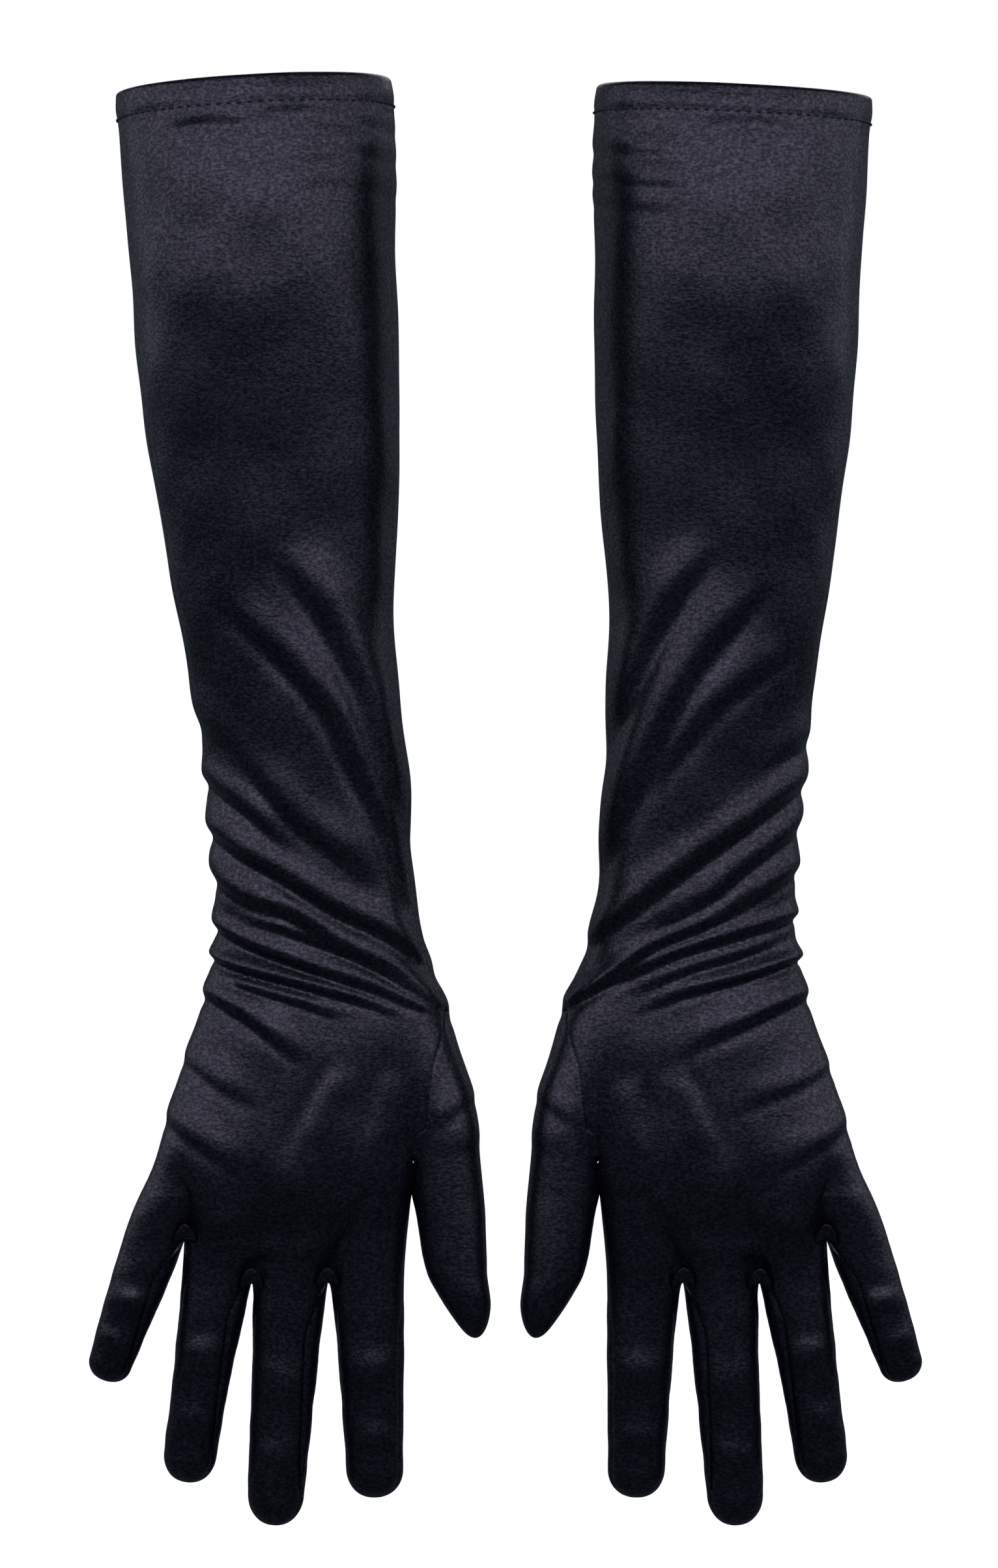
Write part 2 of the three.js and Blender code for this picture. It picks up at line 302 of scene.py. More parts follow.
# --- Folds of the satin -------------------------------------------------------------------------------------
# Spare length slides down the arm and gathers in folds that fan out from the thumb's side of the wrist. Each
# fold is a line of (across, drop) points, where across runs from -1 at the little finger's side to +1 at the
# thumb's side, then its height and width in millimetres, and how much of the height its two ends keep.

fold_lines = {
    "right": [
        (
            [(-0.62, 148), (-0.3, 163), (0.03, 175), (0.42, 191), (0.64, 207), (0.9, 227), (1.0, 240)],
            *(1.9, 4.6, 0.0, 0.5),
        ),
        ([(0.02, 140), (0.3, 153), (0.55, 168), (0.78, 186), (0.97, 207)], 2.2, 5.2, 0.0, 0.8),
        ([(-1.0, 190), (-0.8, 197), (-0.45, 206)], 0.9, 3.6, 0.6, 0.0),
        ([(-0.62, 199), (-0.3, 214), (0.0, 225), (0.4, 235), (0.75, 245)], 1.3, 3.8, 0.0, 0.0),
        ([(-1.05, 210), (-0.85, 214), (-0.42, 225), (-0.1, 236)], 1.3, 2.8, 1.0, 0.0),
        (
            [(-1.05, 224), (-0.9, 228), (-0.65, 234), (-0.3, 240), (0.24, 251), (0.66, 258), (1.0, 267)],
            *(2.0, 3.2, 0.7, 0.4),
        ),
        (
            [(-1.03, 238), (-0.86, 244), (-0.6, 249), (-0.2, 253), (0.21, 261), (0.68, 269), (0.96, 276)],
            *(1.6, 2.8, 1.0, 0.4),
        ),
        ([(-0.7, 255), (-0.3, 258), (0.1, 263), (0.5, 269), (0.9, 278)], 1.1, 1.8, 0.0, 0.2),
        ([(-1.05, 254), (-0.92, 258), (-0.6, 263), (-0.1, 269), (0.45, 275), (0.8, 280)], 1.6, 2.2, 1.0, 0.3),
        ([(-1.05, 265), (-0.9, 268), (-0.6, 271), (-0.12, 275), (0.5, 281), (0.8, 286)], 1.7, 1.9, 1.0, 0.0),
        ([(-0.9, 273), (-0.5, 277), (-0.1, 281), (0.3, 286)], 0.9, 1.6, 0.0, 0.0),
        ([(-1.0, 277), (-0.85, 279), (-0.52, 285), (-0.18, 293), (0.12, 300)], 1.3, 3.2, 1.0, 0.0),
        ([(-1.0, 296), (-0.8, 301), (-0.5, 307), (-0.15, 312)], 0.55, 3.3, 0.4, 0.0),
        ([(-1.0, 314), (-0.8, 319), (-0.45, 327), (-0.1, 333)], 0.6, 3.6, 0.4, 0.0),
        ([(0.85, 324), (1.2, 312), (1.45, 306)], 0.4, 3.2, 0.0, 0.5),
        ([(0.95, 334), (1.2, 327), (1.5, 322)], 0.3, 3.0, 0.0, 0.5),
        ([(-0.2, 12), (0.3, 9), (0.85, 13)], 0.3, 3.0, 0.0, 0.3),
        ([(0.2, 23), (0.5, 20), (0.9, 22)], 0.3, 3.4, 0.0, 0.5),
        ([(0.15, 34), (0.5, 31), (0.95, 32)], 0.26, 3.6, 0.0, 0.6),
        ([(-0.7, 12), (-0.3, 11), (0.1, 13)], 0.5, 3.0, 0.0, 0.0),
        ([(0.36, 298), (0.2, 314), (0.1, 333)], 0.9, 4.2, 0.0, 0.0),
        ([(0.66, 300), (0.68, 316), (0.66, 334)], 0.7, 4.0, 0.0, 0.0),
        ([(-0.72, 352), (-0.5, 349), (-0.3, 350)], 1.0, 2.8, 0.0, 0.0),
        ([(-0.35, 361), (-0.05, 357), (0.15, 360)], 1.1, 2.8, 0.0, 0.0),
        ([(0.2, 360), (0.45, 357), (0.65, 362)], 1.0, 2.8, 0.0, 0.0),
    ],
    "left": [
        ([(0.1, 138), (0.42, 153), (0.72, 170), (0.97, 190)], 1.8, 4.6, 0.0, 0.7),
        ([(-0.45, 147), (-0.05, 163), (0.35, 182), (0.66, 201), (0.95, 224)], 2.0, 4.8, 0.0, 0.6),
        ([(-0.75, 168), (-0.3, 180), (0.1, 191), (0.5, 207), (0.8, 222)], 1.2, 4.4, 0.0, 0.0),
        ([(-1.03, 197), (-0.8, 202), (-0.4, 211)], 0.9, 3.4, 1.0, 0.0),
        ([(-1.03, 210), (-0.88, 214), (-0.41, 225), (0.09, 236), (0.5, 246), (0.9, 257)], 1.8, 3.5, 0.8, 0.4),
        (
            [(-1.01, 223), (-0.84, 229), (-0.44, 238), (-0.1, 247), (0.35, 256), (0.7, 262)],
            *(1.3, 2.8, 1.0, 0.0),
        ),
        ([(-1.04, 238), (-0.79, 243), (-0.4, 250), (0.0, 256)], 1.2, 2.6, 1.0, 0.0),
        ([(-0.5, 250), (-0.03, 257), (0.45, 264), (0.9, 276)], 1.6, 2.2, 0.0, 0.4),
        ([(-1.08, 253), (-0.79, 256), (-0.36, 260), (0.23, 266), (0.75, 274)], 1.4, 2.1, 1.0, 0.3),
        ([(-0.85, 261), (-0.4, 266), (0.1, 271), (0.6, 279)], 0.9, 1.7, 0.0, 0.0),
        ([(-1.08, 266), (-0.9, 268), (-0.4, 273), (0.15, 278), (0.6, 285)], 1.8, 2.0, 1.0, 0.0),
        ([(-1.05, 277), (-0.85, 279), (-0.43, 285), (-0.02, 291), (0.35, 298)], 1.3, 3.3, 1.0, 0.0),
        ([(-1.0, 299), (-0.73, 304), (-0.34, 309), (0.05, 315)], 0.55, 3.3, 0.4, 0.0),
        ([(-1.0, 316), (-0.8, 321), (-0.5, 327), (-0.1, 333)], 0.65, 3.6, 0.4, 0.0),
        ([(0.85, 323), (1.2, 312), (1.45, 305)], 0.4, 3.2, 0.0, 0.5),
        ([(0.95, 334), (1.2, 327), (1.5, 322)], 0.3, 3.0, 0.0, 0.5),
        ([(0.3, 21), (0.6, 20), (0.97, 18)], 0.36, 2.9, 0.0, 0.9),
        ([(0.25, 29), (0.6, 30), (0.97, 27)], 0.36, 2.8, 0.0, 0.9),
        ([(0.35, 38), (0.7, 37), (0.97, 34)], 0.28, 3.0, 0.0, 0.9),
        ([(-0.6, 12), (-0.1, 9), (0.5, 11)], 0.3, 3.0, 0.0, 0.0),
        ([(0.3, 300), (0.18, 315), (0.1, 333)], 0.8, 4.2, 0.0, 0.0),
        ([(0.62, 302), (0.66, 318), (0.66, 335)], 0.8, 4.0, 0.0, 0.0),
        ([(-0.72, 352), (-0.5, 349), (-0.3, 350)], 1.0, 2.8, 0.0, 0.0),
        ([(-0.35, 360), (-0.05, 357), (0.15, 361)], 1.1, 2.8, 0.0, 0.0),
        ([(0.2, 361), (0.45, 357), (0.65, 361)], 1.0, 2.8, 0.0, 0.0),
    ],
}
palm_shift = 3.0  # the folds that run on round the palm side are this much higher up
run_on = 0.4  # how far a fold that keeps its end goes on, as a share of half the arm's width
# X, drop, height and radius.
knuckles = [(-39.0, 346, 1.8, 10.0), (-62.0, 337, 1.6, 9.5), (-84.0, 346, 1.6, 10.5), (-101.0, 344, 0.9, 8.0)]


def fold_path(points, start, end):
    """A fold's line in millimetres: X and drop, with points close together on a smooth curve.

    An end that keeps its height runs on over the side of the arm.
    """
    points = np.array(points, float)
    if start:
        before = points[0] + (points[0] - points[1]) * run_on / abs(points[1, 0] - points[0, 0])
        points = np.vstack([before, points])
    if end:
        after = points[-1] + (points[-1] - points[-2]) * run_on / abs(points[-1, 0] - points[-2, 0])
        points = np.vstack([points, after])
    thumb_edge, little_edge = arm_shape(points[:, 1])[:2]
    wide, middle = (thumb_edge - little_edge) / 2, (thumb_edge + little_edge) / 2
    rows = np.column_stack([np.arange(len(points)), middle + points[:, 0] * wide, points[:, 1]])
    x, drop = curve_through(rows)(np.linspace(0, len(points) - 1, 6 * len(points)))
    return np.column_stack([x, drop])


fold_paths = {
    side: [(fold_path(points, *ends), height, width, *ends) for points, height, width, *ends in folds]
    for side, folds in fold_lines.items()
}


def ridge_height(x, drop, fold):
    """Height of one fold: a soft crest with a tighter valley just below it."""
    path, height, width, start, end = fold
    lowest, highest = path.min(0) - 4 * width, path.max(0) + 4 * width
    near = (x > lowest[0]) & (x < highest[0]) & (drop > lowest[1]) & (drop < highest[1])
    along = np.diff(path, axis=0)
    gap = np.stack([x[near], drop[near]], -1)[:, None] - path[:-1]
    t = np.clip((gap * along).sum(-1) / (along**2).sum(-1), 0, 1)
    gap = gap - t[..., None] * along
    closest = np.argmin((gap**2).sum(-1), axis=1)[:, None]
    side = np.sign(along[:, 0] * gap[..., 1] - along[:, 1] * gap[..., 0])
    down = np.take_along_axis(np.linalg.norm(gap, axis=-1) * side, closest, 1)[:, 0]
    place = np.take_along_axis(t + np.arange(len(along)), closest, 1)[:, 0] / len(along)
    above = np.exp(-((down / (1.45 * width)) ** 2))
    below = np.exp(-((down / width) ** 2)) - 0.5 * np.exp(-(((down - 1.25 * width) / (0.6 * width)) ** 2))
    crest = np.where(down < 0, above - 0.5 * np.exp(-((1.25 / 0.6) ** 2)) * above, below)
    fade = (start + (1 - start) * ease(place, 0, 0.3)) * (end + (1 - end) * ease(-place, -1, -0.62))
    heights = np.zeros(x.shape)
    heights[near] = height * crest * fade
    return heights


ripple_random = np.random.default_rng(7)
ripples = [
    (
        ripple_random.uniform(0.05, 0.32),
        ripple_random.uniform(0, 2 * np.pi),
        ripple_random.uniform(0, 2 * np.pi),
    )
    for _ in range(14)
]


def fold_height(points, side):
    """How far the satin stands out from the arm, in millimetres, at points of the undisturbed surface."""
    x, y, drop = points[..., 0], points[..., 1], -points[..., 2]
    _, _, deep, set_back, _ = arm_shape(drop)
    on_palm = ease((y - set_back) / deep, -0.05, 0.6)
    height = np.zeros(x.shape)
    for fold in fold_paths[side]:
        height += (1 - on_palm) * ridge_height(x, drop, fold)
        height += 0.8 * on_palm * ridge_height(x, drop + palm_shift * on_palm, fold)
    for bump_x, bump_drop, tall, radius in knuckles:
        bump = np.exp(-(((x - bump_x) ** 2 + (drop - bump_drop) ** 2) / radius**2))
        height += (1 - on_palm) * tall * bump
    for pitch, heading, phase in ripples:
        travel = x * np.cos(heading) + drop * np.sin(heading) + 0.6 * y
        height += 0.04 / (0.3 + pitch) * np.sin(pitch * travel + phase + (0.5 if side == "left" else 0))
    return height * (1 - ease(drop, 356, 366))


def outward(points):
    """Unit directions straight out of the arm, level with its sections."""
    thumb_edge, little_edge, deep, set_back, _ = arm_shape(-points[..., 2])
    wide, middle = (thumb_edge - little_edge) / 2, (thumb_edge + little_edge) / 2
    x, y = (points[..., 0] - middle) / wide**2, (points[..., 1] - set_back) / deep**2
    size = np.hypot(x, y)
    return np.stack([x / size, y / size, np.zeros_like(x)], -1)


# --- Making a panel of satin --------------------------------------------------------------------------------
# A panel starts as a grid of points. It is drawn in at its seams, gets the thickness of the cloth on its
# inner side, and is mirrored for the left glove. The rim of the cuff rolls over, and its hem is a little
# thicker.

cloth = 0.55
rim_roll = 1.3
hem_depth = 8.6
left_lean = 7.0
wrist_drop = 268.0


def cuff_roll(drop):
    """Set-in of the rolled rim, the fuller hem above its stitching, and the step down to the single cloth."""
    rolled = (rim_roll - np.clip(drop, 0, rim_roll)) / rim_roll
    rim = rim_roll * (1 - np.sqrt(np.clip(1 - rolled**2, 0, 1)))
    hem = 0.3 * ease(drop, 0.5, 5) * (1 - ease(drop, 5.5, hem_depth + 0.5))
    stitched = -0.12 * np.exp(-(((drop - hem_depth) / 0.7) ** 2))
    single = -0.2 * ease(drop, hem_depth - 0.5, hem_depth + 3) * (1 - ease(drop, 14, 40))
    return hem + stitched + single - rim


# The cuffs sit a little crooked: how much lower the rim is in the middle, at the thumb's side and at the
# front.
cuff_set = {"right": (0.4, -2.4, 1.4), "left": (2.0, -2.0, 2.6)}


def arm_cloth(drop, angle, side):
    """The outer face of the satin on the arm and hand."""
    base = arm_surface(drop, angle)
    height = fold_height(base, side) + cuff_roll(-base[..., 2])
    lower, towards_thumb, at_front = cuff_set[side]
    lower = lower + towards_thumb * np.cos(angle) - at_front * np.sin(angle)
    cloth_points = base + outward(base) * height[..., None]
    cloth_points[..., 2] -= lower * (1 - ease(-base[..., 2], 0, 90))
    return cloth_points


def seam_pull(distance, along):
    """A seam draws both its panels in, and puckers them a little between its stitches."""
    pucker = 0.03 * np.exp(-distance / 1.8) * np.sin(along * 2 * np.pi / 3.1)
    return 0.28 * np.exp(-((distance / 0.55) ** 2)) + pucker


def as_cloth(name, glove, grids, flip=False, thickness=cloth):
    """One object from grids of points in millimetres, welded where they touch. The cloth goes inwards."""
    points, faces = [], []
    for grid in grids:
        start = sum(len(p) for p in points)
        rows, columns = grid.shape[:2]
        corner = start + np.arange(rows * columns).reshape(rows, columns)
        quads = np.stack([corner[:-1, :-1], corner[1:, :-1], corner[1:, 1:], corner[:-1, 1:]], -1)
        points.append(grid.reshape(-1, 3))
        faces.append(quads.reshape(-1, 4))
    points, faces = np.concatenate(points), np.concatenate(faces)
    if glove == "left":
        lean = left_lean * ease(-points[:, 2], 0, wrist_drop)
        points = np.column_stack([lean - points[:, 0], points[:, 1], points[:, 2]])
    if flip != (glove == "left"):
        faces = faces[:, ::-1]
    mesh = bpy.data.meshes.new(name)
    mesh.from_pydata((points / 1000).tolist(), [], faces.tolist())
    piece = bpy.data.objects.new(name, mesh)
    bpy.context.collection.objects.link(piece)
    bpy.ops.object.select_all(action="DESELECT")
    piece.select_set(True)
    bpy.context.view_layer.objects.active = piece
    bpy.ops.object.mode_set(mode="EDIT")
    bpy.ops.mesh.select_all(action="SELECT")
    bpy.ops.mesh.remove_doubles(threshold=0.00002)
    bpy.ops.object.mode_set(mode="OBJECT")
    wall = piece.modifiers.new("cloth", "SOLIDIFY")
    wall.thickness = thickness / 1000
    wall.offset = -1
    bpy.ops.object.modifier_apply(modifier="cloth")
    bpy.ops.object.shade_smooth_by_angle(angle=np.radians(50))
    piece.select_set(False)
    return piece


# --- The satin ----------------------------------------------------------------------------------------------
# Black polyester satin with some elastane. Its floats of bright yarn run round the arm and give a soft sheen
# with a fine grain, and it is dyed black with a faint blue cast.


class Value:
    """A shader socket that can be used in Python sums, each of which adds a Math node."""

    def __init__(self, tree, socket):
        self.tree, self.socket = tree, socket

    def node(self, kind, settings=None, **inputs):
        made = self.tree.nodes.new(kind)
        for key, setting in (settings or {}).items():
            setattr(made, key, setting)
        for key, given in inputs.items():
            target = made.inputs[int(key[1:])] if key[1:].isdigit() else made.inputs[key.replace("_", " ")]
            if isinstance(given, Value):
                self.tree.links.new(given.socket, target)
            else:
                target.default_value = given
        return made

    def out(self, made, name=0):
        return Value(self.tree, made.outputs[name])

    def maths(self, operation, a, b):
        return self.out(self.node("ShaderNodeMath", {"operation": operation}, i0=a, i1=b))

    def __add__(self, other):
        return self.maths("ADD", self, other)

    def __mul__(self, other):
        return self.maths("MULTIPLY", self, other)

    def __sub__(self, other):
        return self.maths("SUBTRACT", self, other)


def satin_material(name, dark, light, roughness):
    """Satin whose yarn grain shows as fine specks, with cloudier changes of sheen over a few centimetres."""
    material = bpy.data.materials.new(name)
    material.use_nodes = True
    tree = material.node_tree
    shader = tree.nodes["Principled BSDF"]
    place = Value(tree, tree.nodes.new("ShaderNodeTexCoord").outputs["Object"])
    yarn_place = place.out(place.node("ShaderNodeMapping", i0=place, Scale=(700, 700, 1500)))
    yarn = place.out(place.node("ShaderNodeTexNoise", Vector=yarn_place, Scale=1.0, Detail=2.0), "Fac")
    speck = place.out(place.node("ShaderNodeTexNoise", Vector=place, Scale=1050.0, Detail=3.0), "Fac")
    crease_place = place.out(place.node("ShaderNodeMapping", i0=place, Scale=(120, 120, 210)))
    crease = place.out(place.node("ShaderNodeTexNoise", Vector=crease_place, Scale=1.0, Detail=3.0), "Fac")
    cloud = place.out(place.node("ShaderNodeTexNoise", Vector=place, Scale=45.0, Detail=4.0), "Fac")
    grain = yarn * 0.5 + speck * 0.5
    shade = place.node("ShaderNodeMix", {"data_type": "RGBA"})
    tree.links.new((grain * 2.6 + cloud * 0.4 - 1.0).socket, shade.inputs["Factor"])
    shade.inputs[6].default_value = (*dark, 1)
    shade.inputs[7].default_value = (*light, 1)
    tree.links.new(shade.outputs[2], shader.inputs["Base Color"])
    tree.links.new((grain * 0.3 + cloud * 0.12 + (roughness - 0.21)).socket, shader.inputs["Roughness"])
    tree.links.new((grain * 6.5 + cloud * 0.5 - 3.1).socket, shader.inputs["Coat Weight"])
    shader.inputs["Coat Roughness"].default_value = roughness
    relief = grain * 2.0 + crease * 1.3 + cloud * 5.5
    bump = place.node("ShaderNodeBump", Height=relief, Strength=1.0, Distance=0.0001)
    tree.links.new(bump.outputs["Normal"], shader.inputs["Normal"])
    shader.inputs["Specular IOR Level"].default_value = 0.4
    shader.inputs["Specular Tint"].default_value = (0.88, 0.86, 1.0, 1)
    return material


satin = satin_material("black_satin", (0.0014, 0.0018, 0.0042), (0.0075, 0.0080, 0.0145), 0.32)


# --- Fingers ------------------------------------------------------------------------------------------------
# Each finger is a tapered stall that curls slightly towards the palm. Its sides are fourchettes wherever it
# faces another finger. Two neighbours meet in a crotch, where all their panels come together.

finger_shapes = {
    "index": dict(root=(-38.3, 367.5), tip=(-36.5, 434.6), half=(10.7, 9.7, 8.7), deep=9.2, curl=5),
    "middle": dict(root=(-62.4, 367.2), tip=(-67.9, 443.3), half=(10.4, 9.6, 8.7), deep=9.2, curl=6),
    "ring": dict(root=(-84.3, 361.6), tip=(-95.0, 430.0), half=(10.2, 8.8, 8.1), deep=9.0, curl=6),
    "little": dict(root=(-105.0, 355.6), tip=(-120.0, 398.4), half=(8.9, 7.8, 6.7), deep=8.0, curl=4),
}
finger_order = ["little", "ring", "middle", "index"]
# Crotches between neighbours, from the little finger's side: X, drop, and half the depth between back and
# palm.
crotches = [(-94.3, 352.4, 4.6), (-74.1, 366.0, 4.4), (-50.8, 365.8, 4.4)]
fourchette_end = 0.84
tip_share = 0.13
fourchette_half = 4.9  # half a fourchette's width at its crotch
root_set = -1.6  # their roots are as far back as the hand's lower edge
opening_out = 3.6  # the crotch's pinch is lost over about this length of the finger


def finger_point(shape, share, angle):
    """A point of a finger: along it by a share of its length, and round it."""
    share, angle = np.broadcast_arrays(np.asarray(share, float), angle)
    (root_x, root_drop), (tip_x, tip_drop) = shape["root"], shape["tip"]
    run = np.array([tip_x - root_x, root_drop - tip_drop])
    length = np.hypot(*run)
    run = run / length
    into_tip = np.clip((share - 1 + tip_share) / tip_share, 0, 1) * np.pi / 2
    taper = curve_through([(0, shape["half"][0]), (0.5, shape["half"][1]), (1 - tip_share, shape["half"][2])])
    wide = taper(share)[0] * np.cos(into_tip) ** 0.9
    deep = shape["deep"] * (1 - 0.14 * share) * np.cos(into_tip) ** 0.9
    along = np.where(into_tip > 0, length * (1 - tip_share + tip_share * np.sin(into_tip)), length * share)
    across = wide * np.sign(np.cos(angle)) * np.abs(np.cos(angle)) ** 0.92
    out = deep * np.sign(np.sin(angle)) * np.abs(np.sin(angle)) ** 0.92
    joints = 1.4 * np.exp(-(((share - 0.40) / 0.08) ** 2)) + 1.0 * np.exp(-(((share - 0.70) / 0.065) ** 2))
    out = out + joints * np.minimum(np.sin(angle), 0) ** 3
    bow = root_set + (shape["curl"] - root_set) * (along / length) ** 1.6
    x = root_x + run[0] * along - run[1] * across
    z = -root_drop + run[1] * along + run[0] * across
    return np.stack([x, out + bow, z], -1)


def finger_sides(name):
    """The crotches at a finger's sides, or None: on the little finger's side, then on the thumb's."""
    i = finger_order.index(name)
    return (crotches[i - 1] if i > 0 else None), (crotches[i] if i < 3 else None)


def side_turn(shape, crotch, share):
    """Half the angle that a fourchette takes up on a finger's side, tapering to nothing before the tip."""
    if crotch is None:
        return np.zeros_like(np.asarray(share, float))
    taper = np.clip((fourchette_end - np.asarray(share, float)) / fourchette_end, 0, 1) ** 0.55
    return np.arcsin(fourchette_half / shape["deep"] * taper)


def seam_roll(share):
    """How far a finger's seams turn, in radians, to bring the fourchette on its thumb's side into sight."""
    return 0.5 * ease(share, 0.0, 0.25)


def strip_angles(name, half, t, share):
    """Angles round a finger of its back or palm strip, for t from the little finger's side to the thumb's."""
    shape = finger_shapes[name]
    little, thumb = finger_sides(name)
    start, end = side_turn(shape, little, share), side_turn(shape, thumb, share)
    turn = start + t * (np.pi - start - end)
    return (np.pi + turn if half == "back" else np.pi - turn) - seam_roll(share)


def crotch_corner(crotch, half):
    x, drop, deep = crotch
    return np.array([x, root_set + (-deep if half == "back" else deep), -drop])


def strip_root(name, half, t):
    """The line where a finger's strip leaves the hand: drawn in to the crotches at its two ends."""
    shape = finger_shapes[name]
    plain = finger_point(shape, 0.0, strip_angles(name, half, t, 0.0))
    drawn = plain.copy()
    for crotch, end in zip(finger_sides(name), (0.0, 1.0)):
        if crotch is None:
            continue
        corner = finger_point(shape, 0.0, strip_angles(name, half, np.array([end]), 0.0))[0]
        near = np.clip(1 - np.abs(t - end) / 0.42, 0, 1) ** 2
        drawn += near[:, None] * (crotch_corner(crotch, half) - corner)
    return drawn


def finger_rows(step=0.85):
    """Shares of the length for a finger's rows, closer together in its rounded tip."""
    straight = np.linspace(0, 1 - tip_share, int(62 / step))
    return np.concatenate([straight, 1 - tip_share + tip_share * np.linspace(0, 1, 16)[1:]])


strip_columns = 21


finger_ripples = [
    (
        ripple_random.uniform(0.15, 0.8),
        *ripple_random.normal(size=3),
        ripple_random.uniform(0, 6.3),
    )
    for _ in range(12)
]


def draw_in(points, centre, distance, along, fade):
    """Moves points near a seam towards the middle of their finger, and ruffles the cloth a little."""
    inward = centre - points
    inward /= np.maximum(np.linalg.norm(inward, axis=-1, keepdims=True), 1e-6)
    pull = seam_pull(distance, along) + 0.2 * np.exp(-((distance / 1.1) ** 2))
    for pitch, a, b, c, phase in finger_ripples:
        travel = (points * (a, b, 2.5 * c)).sum(-1) / np.hypot(np.hypot(a, b), 2.5 * c)
        pull = pull + 0.02 / (0.3 + pitch) * np.sin(pitch * travel + phase)
    return points + inward * (pull * fade)[..., None]


def finger_strip(name, half):
    """Grid of a finger's back or palm strip."""
    shape = finger_shapes[name]
    t = np.linspace(0, 1, strip_columns)
    shares = finger_rows()
    root = strip_root(name, half, t)
    pinch = root - finger_point(shape, 0.0, strip_angles(name, half, t, 0.0))
    length = np.hypot(shape["tip"][0] - shape["root"][0], shape["tip"][1] - shape["root"][1])
    rows = []
    for share in shares:
        angles = strip_angles(name, half, t, share)
        row = finger_point(shape, share, angles) + pinch * np.exp(-share * length / opening_out)
        centre = finger_point(shape, share, np.array([0.0, np.pi])).mean(0)
        edge = np.minimum(np.linalg.norm(row - row[0], axis=1), np.linalg.norm(row - row[-1], axis=1))
        fade = ease(share * length, 0.5, 6) * (1 - ease(share, 0.93, 1)) * np.ones(len(t))
        rows.append(draw_in(row, centre, edge, np.full(len(t), share * length), fade))
    return np.array(rows)


def fourchette(name, on_thumb_side):
    """Grid of the strip that makes one side of a finger, from its palm edge to its back edge."""
    shape = finger_shapes[name]
    crotch = finger_sides(name)[1 if on_thumb_side else 0]
    middle = 0.0 if on_thumb_side else np.pi
    t = np.linspace(0, 1, 9)
    towards_back = -1 if on_thumb_side else 1
    palm, back = crotch_corner(crotch, "palm"), crotch_corner(crotch, "back")
    line = palm + t[:, None] * (back - palm) + np.array([0, 0, 1.6]) * np.sin(np.pi * t)[:, None]
    spread = np.linspace(-1, 1, 9) * towards_back
    pinch = line - finger_point(shape, 0.0, middle + spread * side_turn(shape, crotch, 0.0))
    length = np.hypot(shape["tip"][0] - shape["root"][0], shape["tip"][1] - shape["root"][1])
    rows = []
    for share in np.linspace(0, fourchette_end, 62):
        row = finger_point(shape, share, middle + spread * side_turn(shape, crotch, share) - seam_roll(share))
        row = row + pinch * np.exp(-share * length / opening_out)
        centre = finger_point(shape, share, np.array([0.0, np.pi])).mean(0)
        edge = np.minimum(np.linalg.norm(row - row[0], axis=1), np.linalg.norm(row - row[-1], axis=1))
        fade = ease(share * length, 0.5, 6) * np.ones(9)
        rows.append(draw_in(row, centre, edge, np.full(9, share * length), fade))
    return np.array(rows)


def hinge_place(joint_name):
    joint = next(j for j in frame["joints"] if j["name"] == joint_name)
    return np.array(joint["pos_m"], float)


# --- Back and palm ------------------------------------------------------------------------------------------
# Each is one cloth from the cuff to the roots of the fingers. It is narrowest at the wrist, and its lower
# edge runs on into the four finger strips.

hand_columns = 4 * (strip_columns - 1) + 1
root_row_start = 322.0
eased_above, eased_below = 39, 25  # rows of the hand and of a finger in which their bend is eased out


def root_row(half):
    """The line across the hand where the finger strips start, from the little finger to the index finger."""
    t = np.linspace(0, 1, strip_columns)
    parts = [strip_root(name, half, t) for name in finger_order]
    return np.concatenate([parts[0]] + [part[1:] for part in parts[1:]])


def panel_angles(half, drop, u):
    """Angle of a point u of the way from the little finger's side seam to the thumb's."""
    start = np.pi + side_seam_turn(drop)[0]
    if half == "back":
        end = 2 * np.pi + np.interp(drop, seam_drops, back_edge_turns)
    else:
        end = np.interp(drop, seam_drops, palm_edge_turns)
    return start + u * (end - start)


def hand_panel(half, side):
    """Grid of the back or palm, from the cuff's rim down to the finger roots."""
    root = root_row(half)
    steps = np.abs(np.diff(root[:, 0]))
    by_finger = np.concatenate([[0], np.cumsum(steps)]) / steps.sum()
    even = np.linspace(0, 1, hand_columns)
    rim_rows = rim_roll * np.linspace(0, 1, 6) ** 2
    to_root = np.linspace(0, 1, 64)[1:]
    root_level = np.full(len(to_root) + 1, root_row_start)
    level = np.concatenate([rim_rows, np.arange(2.0, root_row_start, 0.8), root_level])
    into_root = np.concatenate([np.zeros(len(level) - len(to_root)), to_root])[:, None]
    drop = level[:, None] + into_root * (-root[:, 2] - root_row_start)
    u = even + (by_finger - even) * into_root
    plain = arm_cloth(-root[:, 2], panel_angles(half, -root[:, 2], by_finger), side)
    grid = arm_cloth(drop, panel_angles(half, drop, u), side)
    grid = grid + (root - plain) * (ease(into_root, 0, 1) ** 1.4)[..., None]
    from_little = np.linalg.norm(grid - grid[:, :1], axis=2)
    from_thumb = np.linalg.norm(grid - grid[:, -1:], axis=2)
    drops = -grid[..., 2]
    pull = seam_pull(np.minimum(from_little, from_thumb), drops)
    pull = pull * ease(drops, 1, 12) * (1 - ease(drops, 334, 350))
    return grid - outward(grid) * pull[..., None]


